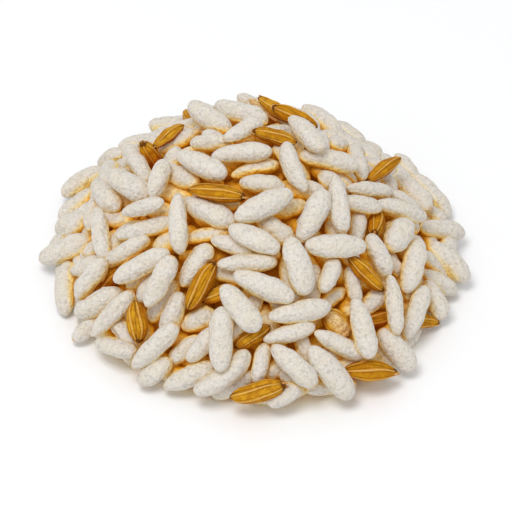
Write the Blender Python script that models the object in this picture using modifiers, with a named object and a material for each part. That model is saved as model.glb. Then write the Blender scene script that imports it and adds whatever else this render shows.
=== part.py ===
"""A heap of puffed rice, as one solid out to its uneven outline.

The heap stands on a flat bottom at z = 0, with its middle on the Z axis. Its
body is a rounded cone with its top a little towards the back, and its edge
wanders in and out. Two layers of grains lie all over the body, each grain
along the slope under it, and the whole is joined into one skin. Units are
metres, +Z is up.
"""

import math
import random

import bmesh
import bpy
import numpy as np
from mathutils import Matrix, Vector

# The heap
HEAP_NAME = "puffed_rice_heap"
HEAP_RADIUS = 0.0385        # from under the top to the outer edge, on average
HEAP_HEIGHT = 0.0310        # bottom to the backs of the topmost grains
RIM_HEIGHT = 0.0038         # one grain lying flat at the edge
SLOPE_POWER = 1.7           # 1 is a straight cone, 2 a round dome
EDGE_WAVES = (              # waves round the edge: how many, share of the radius, turn
    (1, 0.100, 1.57),       # the top lies a little towards the back
    (2, 0.027, 2.50),
    (3, 0.010, 1.75),
    (4, 0.013, -0.60),
    (5, 0.010, -0.50),
    (9, 0.008, 2.00),
)

# One puffed grain
GRAIN_LENGTH = 0.0100
GRAIN_WIDTH = 0.0037
SIZE_SPREAD = 0.09          # share by which lengths and widths differ
PITCH_SPREAD = math.radians(7)
LEVEL_SPREAD = 0.0005       # how far a grain lies above or below its layer

# The layers, from the top down: depth of the grains' middles, and the least
# distance kept between two grains' middle lines
LAYERS = (
    (0.0018, 0.0031),
    (0.0040, 0.0026),
)
PLACES_TRIED = 1400
HEADINGS_TRIED = 12
BEADS = 5                   # points along a grain that keep clear of other grains
BODY_DEPTH = 0.0045         # from the grains' backs down to the body
BODY_INSET = 0.0036         # from the heap's edge in to the body's edge

# How finely the skin is made
GRAIN_SEGMENTS = 12
GRAIN_RINGS = 10
BODY_STEPS = 16
BODY_SEGMENTS = 72
SKIN_VOXEL = 0.0007
SKIN_SMOOTHING = 0.4
SKIN_TRIANGLES = 9400
MERGE_DISTANCE = 0.00002
SEED = 7

GOLDEN_ANGLE = math.pi * (3 - math.sqrt(5))
RICE_WHITE = (0.74, 0.68, 0.60, 1.0)


def clear_scene():
    for thing in list(bpy.data.objects):
        bpy.data.objects.remove(thing, do_unlink=True)


def edge_radius(azimuth):
    """Distance from the middle to the heap's edge in one direction."""
    waves = sum(share * math.cos(count * azimuth + turn) for count, share, turn in EDGE_WAVES)
    return HEAP_RADIUS * (1 + waves)


def slope_height(reach):
    """Height of the heap where reach is 0 at the middle and 1 at the edge."""
    return RIM_HEIGHT + (HEAP_HEIGHT - RIM_HEIGHT) * (1 - reach ** SLOPE_POWER)


def slope_angle(reach):
    """How steeply the heap falls away at that reach."""
    fall = (HEAP_HEIGHT - RIM_HEIGHT) * SLOPE_POWER * reach ** (SLOPE_POWER - 1)
    return math.atan(fall / HEAP_RADIUS)


def plain_mesh(source, name):
    """The evaluated mesh of an object, which is removed."""
    graph = bpy.context.evaluated_depsgraph_get()
    mesh = bpy.data.meshes.new_from_object(source.evaluated_get(graph))
    mesh.name = name
    bpy.data.objects.remove(source, do_unlink=True)
    return mesh


def body_mesh(collection):
    """The rounded cone under the grains: a turned profile, then the uneven edge."""
    outer = HEAP_RADIUS - BODY_INSET
    profile = [Vector((0, 0, -BODY_DEPTH)), Vector((outer, 0, -BODY_DEPTH))]
    for step in range(BODY_STEPS + 1):
        reach = 1 - step / BODY_STEPS
        profile.append(Vector((outer * reach, 0, slope_height(reach) - BODY_DEPTH)))
    line = bpy.data.meshes.new("body_profile")
    edges = [(i, i + 1) for i in range(len(profile) - 1)]
    line.from_pydata(profile[::-1], edges, [])
    turned = bpy.data.objects.new("body_profile", line)
    collection.objects.link(turned)
    screw = turned.modifiers.new("turn", "SCREW")
    screw.steps = BODY_SEGMENTS
    screw.render_steps = BODY_SEGMENTS
    screw.use_merge_vertices = True
    screw.merge_threshold = MERGE_DISTANCE
    mesh = plain_mesh(turned, "body")
    for vertex in mesh.vertices:
        factor = edge_radius(math.atan2(vertex.co.y, vertex.co.x)) / HEAP_RADIUS
        vertex.co.x *= factor
        vertex.co.y *= factor
    return mesh


class Grain:
    """One grain of a layer, at a place on the heap, with the heading it is given."""

    def __init__(self, rng, azimuth, reach, depth):
        self.length = GRAIN_LENGTH * (1 + rng.gauss(0, SIZE_SPREAD))
        self.width = GRAIN_WIDTH * (1 + rng.gauss(0, SIZE_SPREAD))
        self.azimuth = azimuth
        self.reach = reach
        self.depth = depth + rng.uniform(-LEVEL_SPREAD, LEVEL_SPREAD)
        self.extra_pitch = rng.gauss(0, PITCH_SPREAD)

    def turned(self, facing):
        """Lie with the grain's length at this angle to the way downhill."""
        half = (self.length - self.width) / 2
        outward = math.cos(facing)
        steep = slope_angle(self.reach)
        pitch = math.asin(-math.sin(steep) * outward) + self.extra_pitch
        edge = edge_radius(self.azimuth)
        outermost = edge - self.depth - half * abs(outward) * math.cos(pitch)
        radius = min(self.reach * edge, outermost)
        level = slope_height(self.reach) - self.depth / math.cos(steep)
        lowest = self.width * 0.45 + half * abs(math.sin(pitch))
        heading = self.azimuth + facing
        self.middle = Vector((
            radius * math.cos(self.azimuth),
            radius * math.sin(self.azimuth),
            max(level, lowest),
        ))
        self.along = Vector((
            math.cos(heading) * math.cos(pitch),
            math.sin(heading) * math.cos(pitch),
            math.sin(pitch),
        ))
        return self

    def beads(self):
        """Points on the grain's middle line, from near one tip to near the other."""
        half = (self.length - self.width) / 2
        steps = np.linspace(-half, half, BEADS)
        return np.array(self.middle) + steps[:, None] * np.array(self.along)


def room_round(beads, taken):
    """Distance from a grain's beads to the nearest bead of the grains that lie already."""
    if not len(taken):
        return math.inf
    return float(np.linalg.norm(beads[:, None, :] - taken[None, :, :], axis=2).min())


def lay_grains(rng):
    """Fill each layer: every place in turn takes the freest heading, if that is free enough."""
    grains = []
    taken = np.empty((0, 3))
    for depth, clear in LAYERS:
        order = list(range(PLACES_TRIED))
        rng.shuffle(order)
        for number in order:
            reach = math.sqrt((number + 0.5) / PLACES_TRIED)
            grain = Grain(rng, number * GOLDEN_ANGLE, reach, depth)
            first = rng.uniform(0, math.pi)
            facings = [first + math.pi * turn / HEADINGS_TRIED for turn in range(HEADINGS_TRIED)]
            freest = max(facings, key=lambda facing: room_round(grain.turned(facing).beads(), taken))
            beads = grain.turned(freest).beads()
            if room_round(beads, taken) > clear:
                grains.append(grain)
                taken = np.vstack((taken, beads))
    return grains


def unit_grain_mesh():
    """A grain of length 1 and width 1 along X, which every grain is a stretched copy of."""
    ball = bmesh.new()
    bmesh.ops.create_uvsphere(
        ball,
        u_segments=GRAIN_SEGMENTS,
        v_segments=GRAIN_RINGS,
        radius=0.5,
        matrix=Matrix.Rotation(math.radians(90), 4, "Y"),
    )
    mesh = bpy.data.meshes.new("unit_grain")
    ball.to_mesh(mesh)
    ball.free()
    return mesh


def add_grains(shape, grains):
    unit_grain = unit_grain_mesh()
    for grain in grains:
        first = len(shape.verts)
        shape.from_mesh(unit_grain)
        shape.verts.ensure_lookup_table()
        size = Matrix.Diagonal((grain.length, grain.width, grain.width, 1))
        turn = grain.along.to_track_quat("X", "Z").to_matrix().to_4x4()
        place = Matrix.Translation(grain.middle) @ turn @ size
        bmesh.ops.transform(shape, matrix=place, verts=shape.verts[first:])


def one_skin(mesh, collection):
    """Join everything in the mesh into one skin of few triangles."""
    rough = bpy.data.objects.new("rough_heap", mesh)
    collection.objects.link(rough)
    voxels = rough.modifiers.new("join", "REMESH")
    voxels.mode = "VOXEL"
    voxels.voxel_size = SKIN_VOXEL
    even = rough.modifiers.new("even", "SMOOTH")
    even.factor = SKIN_SMOOTHING
    even.iterations = 1
    joined = bpy.data.objects.new("joined_heap", plain_mesh(rough, "joined"))
    collection.objects.link(joined)
    triangles = sum(len(face.vertices) - 2 for face in joined.data.polygons)
    thin = joined.modifiers.new("thin", "DECIMATE")
    thin.ratio = min(1.0, SKIN_TRIANGLES / triangles)
    thin.use_collapse_triangulate = True
    return plain_mesh(joined, "skin")


def drop_bubbles(shape):
    """Keep the outer skin, and delete the small closed bubbles left between grains."""
    unseen = set(shape.verts)
    bodies = []
    while unseen:
        body = set()
        newest = {unseen.pop()}
        while newest:
            body |= newest
            touching = {edge.other_vert(vertex) for vertex in newest for edge in vertex.link_edges}
            newest = touching - body
        unseen -= body
        bodies.append(body)
    outer = max(bodies, key=len)
    bubbles = [vertex for vertex in shape.verts if vertex not in outer]
    bmesh.ops.delete(shape, geom=bubbles, context="VERTS")


def cut_flat(mesh):
    """Cut the heap off at z = 0 and close the cut, for a flat bottom."""
    shape = bmesh.new()
    shape.from_mesh(mesh)
    drop_bubbles(shape)
    bmesh.ops.bisect_plane(
        shape,
        geom=shape.verts[:] + shape.edges[:] + shape.faces[:],
        plane_co=(0, 0, 0),
        plane_no=(0, 0, 1),
        clear_inner=True,
    )
    bmesh.ops.remove_doubles(shape, verts=shape.verts[:], dist=MERGE_DISTANCE)
    rim = [edge for edge in shape.edges if edge.is_boundary]
    bmesh.ops.contextual_create(shape, geom=rim)
    bmesh.ops.recalc_face_normals(shape, faces=shape.faces[:])
    shape.to_mesh(mesh)
    shape.free()


def centre_on_axis(mesh):
    """Move the heap sideways, so that the middle of its box is on the Z axis."""
    sides = np.array([vertex.co[:2] for vertex in mesh.vertices])
    middle = (sides.min(axis=0) + sides.max(axis=0)) / 2
    mesh.transform(Matrix.Translation((-middle[0], -middle[1], 0)))


def rice_material():
    material = bpy.data.materials.new("puffed_rice")
    material.use_nodes = True
    shader = material.node_tree.nodes["Principled BSDF"]
    shader.inputs["Base Color"].default_value = RICE_WHITE
    shader.inputs["Roughness"].default_value = 0.75
    shader.inputs["Metallic"].default_value = 0.0
    return material


def main():
    clear_scene()
    collection = bpy.data.collections.new(HEAP_NAME)
    bpy.context.scene.collection.children.link(collection)
    shape = bmesh.new()
    shape.from_mesh(body_mesh(collection))
    add_grains(shape, lay_grains(random.Random(SEED)))
    rough = bpy.data.meshes.new("rough")
    shape.to_mesh(rough)
    shape.free()
    skin = one_skin(rough, collection)
    cut_flat(skin)
    centre_on_axis(skin)
    skin.shade_smooth()
    skin.set_sharp_from_angle(angle=math.radians(60))
    skin.materials.clear()
    skin.materials.append(rice_material())
    heap = bpy.data.objects.new(HEAP_NAME, skin)
    collection.objects.link(heap)


main()
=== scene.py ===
"""The looks of the puffed rice heap: loose grains settled over a small core.

Lengths are in millimetres until a mesh is made, and metres from there on.
"""

import math

import bmesh
import bpy
import numpy as np
from mathutils import Matrix, Vector


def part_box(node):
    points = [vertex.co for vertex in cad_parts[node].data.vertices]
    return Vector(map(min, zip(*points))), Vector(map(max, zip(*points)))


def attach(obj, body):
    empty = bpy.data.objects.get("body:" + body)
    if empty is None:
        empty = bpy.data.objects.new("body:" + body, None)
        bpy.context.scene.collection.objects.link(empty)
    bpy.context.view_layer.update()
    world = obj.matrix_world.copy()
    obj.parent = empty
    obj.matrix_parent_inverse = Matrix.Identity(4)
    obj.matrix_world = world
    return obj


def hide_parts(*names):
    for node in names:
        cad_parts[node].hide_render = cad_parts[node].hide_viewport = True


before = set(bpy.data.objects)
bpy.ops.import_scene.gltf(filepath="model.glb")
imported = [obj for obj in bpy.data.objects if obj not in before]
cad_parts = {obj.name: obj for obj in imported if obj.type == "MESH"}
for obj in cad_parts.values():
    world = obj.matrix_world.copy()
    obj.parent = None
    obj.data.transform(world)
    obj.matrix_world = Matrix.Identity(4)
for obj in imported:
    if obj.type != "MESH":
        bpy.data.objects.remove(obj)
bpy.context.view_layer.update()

MM = 0.001
HEAP = "puffed_rice_heap"
BODY = "root"
HEAP_LOW, HEAP_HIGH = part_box(HEAP)

# The heap: its profile, and the waves round its edge as (how many, share of the radius, turn)
HEAP_HEIGHT = (HEAP_HIGH.z - HEAP_LOW.z) / MM
RIM_HEIGHT = 3.8
SLOPE_POWER = 1.7
EDGE_WAVES = (
    (1, 0.100, 1.57),
    (2, 0.027, 2.50),
    (3, 0.010, 1.75),
    (4, 0.013, -0.60),
    (5, 0.010, -0.50),
    (9, 0.008, 2.00),
)

# The core that the grains lie on: its reach is a share of the heap's
CORE_REACH = 0.76
CORE_HEIGHT = 0.60 * HEAP_HEIGHT
CORE_LIFT = 0.05            # how far it stays off the floor
CORE_MESH = (20, 64)        # rings, and points round it
SAME_SPOT = 1e-6            # in metres, for points at the core's top that are one

# Where the heap is looked at from
VIEW_ANGLE = math.radians(44)
CAMERA_DISTANCE = 800       # in mm, from the spot that the camera looks at
AIM_HEIGHT = 3.3            # how high that spot lies over the middle of the heap's bottom
SIGHT_RISE, SIGHT_FALL = math.sin(VIEW_ANGLE), math.cos(VIEW_ANGLE)
LOOK = np.array([0.0, -SIGHT_FALL, SIGHT_RISE])     # towards the viewer
SIGHT_UP = np.array([0.0, SIGHT_RISE, SIGHT_FALL])  # upwards in the view

SEED = 11
VARIANTS = 6                # shapes of each kind of grain
FINE_MESH = (34, 26)        # rings along a grain, and points round it
COARSE_MESH = (14, 12)      # the same for grains whose middle lies deeper than FINE_DEPTH
HUSK_MESH = (40, 42)
FINE_DEPTH = 5.2
LUMP_SIZE = 1.1             # how wide the skin's small lumps are
GRAIN_LUMPS = 0.13          # how deep they are on puffed grains, and on husks
HUSK_LUMPS = 0.08

# Each kind of puffed grain: length, width, thickness over width, bend in degrees
# from and to, how blunt its ends are, how much one end tapers, share of the unseen grains
KINDS = {
    "plump": dict(length=10.4, width=4.30, flat=0.90, bend=(2, 14), blunt=2.8, taper=0.08, share=0.18),
    "even": dict(length=10.0, width=3.80, flat=0.92, bend=(2, 18), blunt=2.7, taper=0.12, share=0.26),
    "slender": dict(length=10.0, width=3.25, flat=0.93, bend=(4, 20), blunt=2.5, taper=0.16, share=0.24),
    "bent": dict(length=10.6, width=3.70, flat=0.92, bend=(36, 62), blunt=2.8, taper=0.10, share=0.11),
    "creased": dict(length=9.6, width=3.90, flat=0.84, bend=(4, 24), blunt=2.7, taper=0.12, share=0.13),
    "short": dict(length=7.0, width=3.50, flat=0.94, bend=(0, 12), blunt=2.5, taper=0.10, share=0.08),
}

# The same for the grains in their husks: whole, faded, and broken open over rough rice
HUSKED = {
    "paddy": dict(length=9.6, width=3.60, flat=0.82, bend=(4, 12), blunt=2.2, taper=0.05, share=0.05),
    "faded": dict(length=9.6, width=3.20, flat=0.82, bend=(4, 12), blunt=2.2, taper=0.05, share=0.0),
    "broken": dict(length=6.6, width=4.20, flat=0.80, bend=(4, 12), blunt=2.6, taper=0.10, share=0.0),
}
HUSK_RIBS = 6
HUSK_SEAMS = (62, 165)      # where the husk's two halves meet, in degrees round the grain
FADED = 0.75                # how much of the faded husk's colour is rough rice's
SCALE_SEGMENTS = 6          # points round each small scale at a husk's foot
STRAIGHTEST = 0.01          # the least that a grain is bent, in radians
LUMP_WAVES = 14             # waves that add up to the larger lumps of a grain's skin
GRAIN_SKIN_LUMPS = 0.12     # how far these push it in and out
HUSK_SKIN_LUMPS = 0.08
ROUGH_RICE_LUMPS = 0.8      # and how much more where the broken husk is open
TIPS = dict(start=0.82, span=0.18)      # where a grain's ends may be tan, from its middle on

# The white grains on the heap's front, as they lie when looked at along VIEW_ANGLE:
# how far to the right and up from the middle of the heap's bottom, which way they
# point, how long and wide they look, and how deep they lie, in mm and degrees.
# A few are of a kind that their size doesn't tell, turned on their length as given.
# The places are listed, and the grains are pushed apart from there.
FRONT_GRAINS = (
    (-8.4, 27.3, -36, 9.4, 4.3, 0.0), (-2.7, 28.3, -20, 10.2, 3.7, 0.3), (-0.2, 29.7, -32, 7.6, 2.9, 0.2),
    (-15.2, 26.0, -4, 8.8, 3.6, 1.5), (-20.8, 22.8, 5, 8.5, 3.6, 1.5), (-21.3, 19.0, -63, 8.0, 3.5, 0.0),
    (-23.0, 15.2, -30, 9.2, 4.3, 0.0), (-14.3, 16.9, -26, 8.8, 3.8, 0.5, "creased", 20),
    (-17.6, 16.2, 72, 7.4, 3.5, 0.3), (-10.0, 18.9, -24, 10.0, 4.0, 0.0), (-14.0, 23.2, 27, 8.2, 3.2, 0.8),
    (-8.2, 22.9, 0, 7.6, 3.3, 1.2), (-2.6, 21.0, 5, 11.2, 3.6, 0.3), (-2.4, 25.1, 25, 7.8, 3.3, 0.8),
    (-0.2, 18.1, 14, 9.2, 3.2, 1.0), (1.2, 15.2, -8, 8.6, 3.8, 0.7), (9.1, 24.6, -47, 8.6, 3.8, -0.6),
    (12.0, 27.3, -42, 9.2, 3.8, 1.2), (17.2, 25.0, -42, 7.5, 3.2, 1.5), (18.8, 21.8, -12, 8.4, 3.6, 0.8),
    (13.3, 19.7, -10, 11.2, 3.8, 0.0), (6.8, 18.4, 112, 10.2, 3.7, -0.3, "bent", -90),
    (1.4, 11.4, 25, 11.6, 4.4, -0.3),
    (15.0, 11.7, -82, 10.9, 3.4, 0.0), (10.4, 9.6, 62, 10.6, 4.2, -0.2), (27.4, 18.0, -60, 7.5, 3.4, 1.2),
    (20.7, 14.3, -4, 8.8, 2.9, 0.8), (28.3, 14.0, -48, 8.8, 4.0, 0.6), (31.8, 13.3, -50, 9.6, 3.8, 0.8),
    (26.4, 10.6, -14, 9.6, 3.4, 0.0), (33.8, 7.0, -6, 8.2, 3.7, 0.0), (31.5, 10.0, -35, 7.5, 3.2, 1.2),
    (19.0, 11.7, -9, 7.8, 3.3, 0.4), (18.4, 7.2, 78, 7.0, 3.1, 1.0), (22.3, 2.4, -68, 8.6, 3.7, 0.5),
    (24.9, 1.0, -60, 5.5, 2.8, 1.5), (25.9, 6.0, 52, 6.3, 4.6, 0.0), (28.4, 0.6, 74, 10.0, 4.0, 0.2),
    (35.0, 1.2, -43, 10.0, 4.5, 0.0), (33.2, -2.4, -30, 7.8, 3.2, 1.0), (14.4, 4.1, 0, 11.2, 4.2, -0.2),
    (13.3, -1.3, 66, 6.9, 3.3, 0.6), (13.7, -5.5, 35, 6.4, 3.0, 1.2), (7.6, 0.5, -74, 11.0, 4.7, -0.4),
    (-0.3, 5.4, -25, 10.2, 4.1, -0.3), (3.5, 7.2, -40, 8.8, 3.6, 1.0), (5.5, 10.7, 18, 8.0, 3.2, 2.2),
    (-4.0, 4.2, -18, 8.8, 3.5, 0.9), (-1.6, 1.0, 2, 11.0, 3.5, 0.8), (1.4, -3.2, -23, 12.0, 4.4, -0.4),
    (-2.9, -7.1, -50, 10.6, 4.5, -0.3), (-8.6, 10.3, -24, 10.6, 4.0, 0.2), (-9.0, 6.0, 10, 9.0, 3.2, 2.6),
    (-11.0, 0.6, 55, 9.4, 4.3, 0.9, "creased", -30), (-14.1, 8.2, -88, 11.2, 3.7, -0.2),
    (-20.0, 7.2, 14, 11.8, 3.6, 0.2), (-20.6, 11.1, 15, 8.2, 2.9, 0.3), (-25.0, 8.8, -20, 7.2, 3.3, 1.0),
    (-24.0, 3.0, 29, 10.8, 3.4, 0.2), (-20.8, 0.5, 27, 11.6, 4.1, 0.0), (-17.4, -2.3, 62, 10.6, 4.0, -0.2),
    (-28.2, 6.5, -80, 10.0, 3.2, 0.0), (-27.3, 13.3, -50, 7.8, 4.0, 0.2),
    (-31.0, 15.9, 25, 9.6, 3.8, 1.0, "bent", -90),
    (-32.2, 11.6, 38, 8.5, 3.8, 1.2), (-31.8, 8.8, 50, 8.0, 3.6, 0.8), (-34.7, 3.4, 20, 10.4, 4.3, 0.0),
    (-25.2, 18.8, 0, 6.5, 3.2, 1.2), (-34.6, -3.5, 86, 9.6, 3.8, 0.5, "bent", -90),
    (-30.6, 0.5, 20, 6.5, 3.0, 1.2),
    (-30.0, -1.8, 54, 9.2, 3.8, 0.0), (-28.5, -6.3, 22, 10.0, 4.2, 0.6, "creased", 40),
    (-26.1, -8.2, 47, 11.2, 3.2, 0.0), (-30.6, -10.8, 40, 7.0, 3.1, 0.8),
    (-24.0, -11.4, -48, 7.8, 3.4, 0.8, "creased", 0), (-25.4, -14.3, -12, 8.2, 3.8, 0.3, "creased", 60),
    (-15.2, -8.6, 72, 9.4, 4.2, 0.3), (-18.3, -14.0, 44, 12.0, 3.8, -0.2), (-12.8, -14.8, 35, 7.6, 3.6, 0.8),
    (-18.3, -18.8, 38, 7.5, 3.6, 0.4), (-12.0, -19.7, 22, 10.6, 3.8, 0.2), (-10.5, -9.4, 18, 7.2, 4.0, 0.8),
    (-9.6, -13.8, 48, 8.4, 3.6, 0.7), (-6.3, -12.8, 88, 12.0, 4.6, -0.3),
    (-5.9, -19.3, 38, 12.8, 4.3, 0.0, "bent", 90),
    (0.9, -17.1, 75, 7.6, 3.0, 0.4), (3.4, -18.5, 20, 4.0, 3.2, 0.8), (6.9, -17.6, -43, 11.0, 4.0, -0.1),
    (7.9, -7.8, 10, 11.8, 3.8, -0.2), (6.1, -11.8, 15, 9.8, 3.3, 0.0), (13.6, -18.8, -50, 12.3, 4.6, 0.0),
    (15.1, -13.8, -27, 10.2, 3.4, -0.1), (8.9, -15.0, -70, 7.4, 3.4, 1.2), (5.0, -22.9, 28, 6.8, 3.6, 0.6),
    (7.8, -19.8, -10, 7.5, 3.2, 0.7), (19.3, -10.8, -76, 11.6, 4.0, -0.2), (17.6, -3.2, -75, 7.2, 2.8, 0.5),
    (25.0, -6.6, -84, 11.0, 3.5, -0.1), (29.0, -8.0, 68, 10.6, 3.6, 0.0), (32.5, -5.6, -68, 7.6, 3.6, 0.4),
    (25.5, -14.8, -50, 9.6, 4.2, 0.0), (23.4, -16.0, -42, 7.0, 2.9, 0.6), (21.4, -5.8, 40, 7.5, 3.4, 2.4),
)

# The unhusked grains there, pointing from their scales to their tip
FRONT_PADDIES = (
    (-16.0, 24.0, 36, 7.2, 2.7, -0.2), (-19.0, 20.2, -58, 6.6, 3.2, 0.5), (-11.9, 26.9, 118, 5.0, 2.2, 1.4),
    (-7.0, 13.8, 172, 10.8, 3.7, -0.4), (-10.0, -3.1, 240, 10.4, 3.6, -0.2),
    (3.4, 24.1, -14, 8.6, 2.8, -0.1), (3.4, 29.0, -38, 7.4, 2.5, -0.2),
    (1.6, 28.9, 142, 7.0, 2.0, -0.1, "faded", 30), (7.0, 27.6, -25, 9.0, 3.1, -0.3),
    (23.0, 18.0, 36, 8.2, 3.1, -0.4), (21.9, 8.2, 80, 4.2, 3.6, 0.6), (20.0, -0.9, 136, 9.2, 3.1, -0.2),
    (22.0, -9.2, 10, 7.0, 3.0, 3.6), (29.8, -9.3, 172, 7.8, 2.9, 0.8), (-21.6, -9.6, 95, 7.8, 3.7, 0.0),
    (-0.7, -12.4, 33, 7.8, 3.1, 1.0), (0.4, -22.5, 192, 10.8, 3.8, -0.3), (20.8, -18.6, 178, 10.2, 4.5, 0.0),
    (-26.6, -2.2, 45, 8.0, 3.1, 3.6), (-6.4, -4.6, 20, 8.0, 3.1, 3.2),
    (14.6, -10.0, -45, 6.6, 4.4, 0.9, "broken", 0),
)

# The grains that don't show, or show in the gaps: how many each layer has at most, how
# deep under the heap's skin they start, and how clear of other grains they have to be
BED = dict(count=150, sunk=5.8)
LOW_LAYER = dict(count=140, sunk=3.4, clear=2.4)
MIDDLE_LAYER = dict(count=175, sunk=1.7, clear=1.8)
TOP_LAYER = dict(count=110, sunk=0.0, clear=2.8)
FAR_LAYER = dict(count=90, sunk=0.4, clear=2.3)
FAR_SIDE = 0.25             # slopes that face the viewer less than this are the far side
POUR_SPOTS = 1400           # places over the whole heap that a layer tries
POUR_TURNS = 8              # headings that it tries at each
EDGE_ROOM = 1.0             # how far within the heap's outline a poured grain's beads start

# How the heap settles after each layer: steps, fall in each, and how far loose grains are
# kept under the skin
BED_SETTLES = dict(steps=120, fall=0.04, ceiling=5.6)
LOW_SETTLES = dict(steps=60, fall=0.05, ceiling=3.0)
MIDDLE_SETTLES = dict(steps=30, fall=0.03, ceiling=0.6)
FRONT_SETTLES = dict(steps=70, fall=0.03, ceiling=1.4)
FAR_SETTLES = dict(steps=40, fall=0.03, ceiling=1.0)
ALL_REST = dict(steps=30, fall=0.0, ceiling=1.0)

GRAIN_BACK = 1.9            # from a grain's middle to its back
FULLER = 1.04               # how much wider a front grain is than the part of it that shows
FRONT_LOOSE = 0.3           # how freely the front grains give way, where the others have 1
UNSEEN = 9.0                # depth that stands for every grain under the front ones
STEER = 1.0                 # how strongly grains at the front give way along the line of sight
HOLD = 0.45                 # share of a front grain's drift that is undone in each pass
HOLD_LEAN = 0.20            # the same for how far it leans towards the viewer
RISE, SINK = 3.5, 2.5       # how far a front grain may come forward or sink along the line of sight
LOW_RISE = 0.35             # the first of these over the grain's height, near the floor
LEAST_RISE = 0.4            # and how much it is at least
FRONT_EDGE = 3.0            # how much farther from the front edge the unseen grains stay
FREE = 99.0                 # more than any distance in the heap
MOST_ABOVE = 2.0            # how far a grain may be raised over the heap's horizon
LONGEST = 1.08              # how long a front grain may be, where 1 is usual for its kind
END_ON = 0.7                # a grain that looks shorter than this share is seen more from its end
SKIN_PUSH, EDGE_PUSH = 0.4, 0.5     # how much of what stands out there one pass pushes back
OVERSHOOT = 1.25            # how much farther than the mean of its pushes a grain is moved
LONGEST_MOVE = 0.6          # in one pass
MOST_TURN = 0.12            # in radians, in one pass
PASSES = 2                  # in each step of a settling run
PAIRS_LAST = 8              # steps for which the list of near grains holds
PAIR_SLACK = 1.0            # how far apart near grains may be
LIFT_ROOM = 1.06            # how high over the floor a bead's middle has to end, over its radius
BEAD_STATIONS = np.linspace(-0.84, 0.84, 7)     # beads along a grain, from -1 to 1 at its tips

# Colours of the puffed grains, in linear light. The tints are shares of PUFFED_WHITE, and the painted-shade
# stops say which cream, golden or brown colour a grain is painted as shade where other grains close it in so
# far
PUFFED_WHITE = (0.708, 0.660, 0.598)
CREAM_TINT = (1.0, 0.970, 0.89)
GREY_TINT = (0.78, 0.775, 0.76)
# Painted glints: small dots painted brighter than the white
GLINT_TINT = (1.10, 1.11, 1.13)
DOT_BROWN = (0.54, 0.46, 0.36)
TOASTED_TAN = (0.66, 0.40, 0.11)
PAINTED_SHADE_STOPS = (
    (0.13, (0.82, 0.745, 0.60)),
    (0.31, (0.87, 0.750, 0.47)),
    (0.51, (0.90, 0.690, 0.28)),
    (0.76, (0.86, 0.45, 0.020)),
    (1.00, (0.64, 0.24, 0.005)),
)
BROWN_TINT = (0.66, 0.52, 0.34)

# Colours of the husks, of the core, which is painted as the shade deep between the grains, and of the floor
HUSK_GOLDS = ((0.58, 0.260, 0.008), (0.72, 0.375, 0.022))
HUSK_MOTTLE = (0.40, 0.145, 0.005)
# Painted shade in the furrows next to the husk's ribs
FURROW_SHADE = (0.28, 0.10, 0.008)
# Pale ribs: partly their own paler colour and partly a painted highlight
PALE_RIBS_AND_HIGHLIGHT = (0.84, 0.54, 0.19)
HUSK_FLECKS = (0.30, 0.11, 0.01)
# Brown of the husk's ends and seams, also painted as shade between the ribs near the ends
HUSK_ENDS_AND_SHADE = (0.10, 0.026, 0.004)
ROUGH_RICE = ((0.86, 0.68, 0.40), (0.60, 0.35, 0.10))
# Painted shade: how much darker and redder a husk is painted where it is closed in
HUSK_SHADE_STOPS = ((0.15, (1.0, 1.0, 1.0)), (0.50, (0.95, 0.78, 0.55)), (1.0, (0.62, 0.30, 0.10)))
# The core's colours are painted shade, for the gaps deep in the heap
CORE_SHADE_BROWNS = ((0.42, 0.14, 0.008), (0.70, 0.30, 0.03))
FLOOR_WHITES = ((0.920, 0.928, 0.942), (0.930, 0.938, 0.952))
GLOW = 0.06                 # a painted glow, standing in for light that soaks through the grains into the gaps between them

# The shade stored in a grain's points: where it starts, and over how much more it grows
SHADE_REACH = 15.0          # how near a grain has to be to close in a point
CLOSING = 0.30              # how fast cover by other grains closes in a point
CLOSED_IN = dict(start=0.18, span=0.62)
DEEP_DOWN = dict(start=1.8, span=4.2)       # in mm under the heap's skin
AT_THE_EDGE = dict(start=-6, span=4)        # in mm from the heap's outline
FOOT_HEIGHT = 4             # near the outline, points lower than this have less shade
CLOSED_SHADE, DEEP_SHADE = 0.62, 0.62       # how much these two add
FOOT_LIGHT = 0.40           # and how much the foot takes off
UNDERSIDE = 0.55            # upward part of the normal under which a point counts as an underside
HUSK_UNDERSIDES, GRAIN_UNDERSIDES = 0.35, 0.12      # how much their undersides add

# The studio, in metres
WORLD_LIGHT = 0.70
KEY_PLACE = (-0.15, -0.25, 0.80)
KEY_AIM = (0, 0, 0.01)
KEY_SIZE = 0.4
KEY_POWER = 3.3
LENS, SENSOR = 309, 36      # in mm


# ---------------------------------------------------------------- heap shape

def edge_share(azimuth):
    """Distance from under the top to the heap's edge in one direction, as a share of the mean."""
    return 1 + sum(share * np.cos(count * azimuth + turn) for count, share, turn in EDGE_WAVES)


def fitted_outline():
    """The mean radius that gives the heap's width, and where its top lies over the box's middle."""
    azimuth = np.linspace(0, math.tau, 721)
    x = edge_share(azimuth) * np.cos(azimuth)
    y = edge_share(azimuth) * np.sin(azimuth)
    radius = (HEAP_HIGH.x - HEAP_LOW.x) / MM / (x.max() - x.min())
    return radius, -radius * (x.max() + x.min()) / 2, -radius * (y.max() + y.min()) / 2


HEAP_RADIUS, TOP_X, TOP_Y = fitted_outline()


def edge_radius(azimuth):
    """Distance from under the top to the heap's edge, in mm."""
    return HEAP_RADIUS * edge_share(azimuth)


def polar(x, y):
    """Distance and direction from the point under the heap's top."""
    return np.hypot(x - TOP_X, y - TOP_Y), np.arctan2(y - TOP_Y, x - TOP_X)


def slope_height(x, y):
    """Height of the heap's outer skin over a point of the floor."""
    out, azimuth = polar(x, y)
    reach = np.minimum(out / edge_radius(azimuth), 1)
    return RIM_HEIGHT + (HEAP_HEIGHT - RIM_HEIGHT) * (1 - reach ** SLOPE_POWER)


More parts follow.
